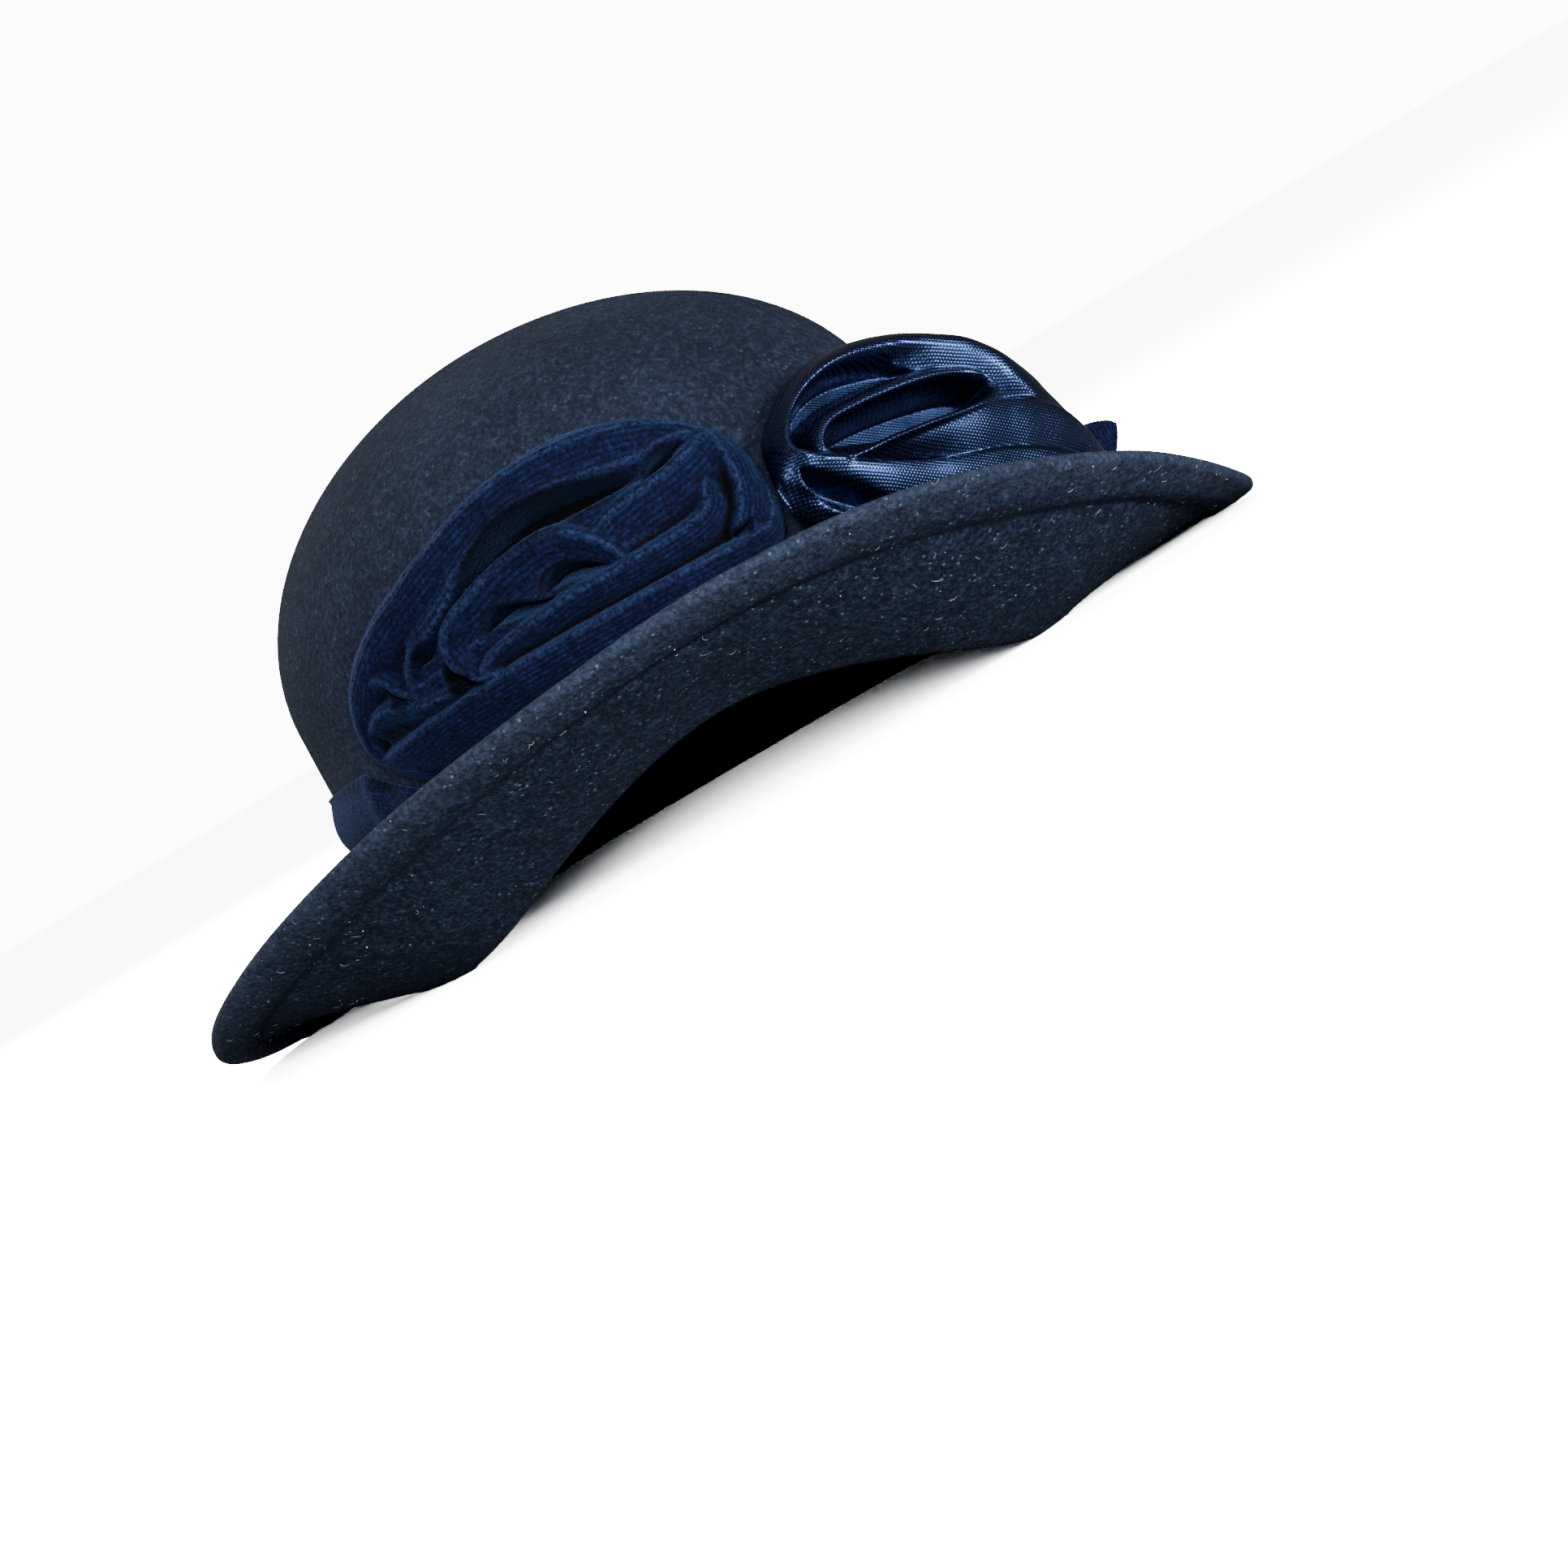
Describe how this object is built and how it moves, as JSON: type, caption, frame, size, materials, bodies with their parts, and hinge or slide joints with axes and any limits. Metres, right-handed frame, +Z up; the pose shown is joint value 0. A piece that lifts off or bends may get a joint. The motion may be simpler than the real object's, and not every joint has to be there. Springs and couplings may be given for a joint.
{
  "type": "tilt hat",
  "caption": "Soft felt hat with a domed crown and an asymmetric swept-up brim, trimmed with a draped velvet band, a flat velvet rose, a satin rose and a velvet leaf.",
  "frame": {"origin": "on the floor, under the middle of the brim's plan outline", "axes": "+Z up, +Y towards the back of the wearer's head, +X towards the wearer's left; the roses are at -X and -Y"},
  "size_m": [0.2974, 0.33, 0.1411],
  "materials": {
    "felt": "napped wool felt, matt",
    "velvet": "deep pile velvet with a soft sheen",
    "satin": "glossy satin"
  },
  "bodies": {
    "root": {"felt_body": "felt", "velvet_band": "velvet", "velvet_rose": "velvet", "satin_rose": "satin", "velvet_leaf": "velvet"}
  },
  "joints": []
}
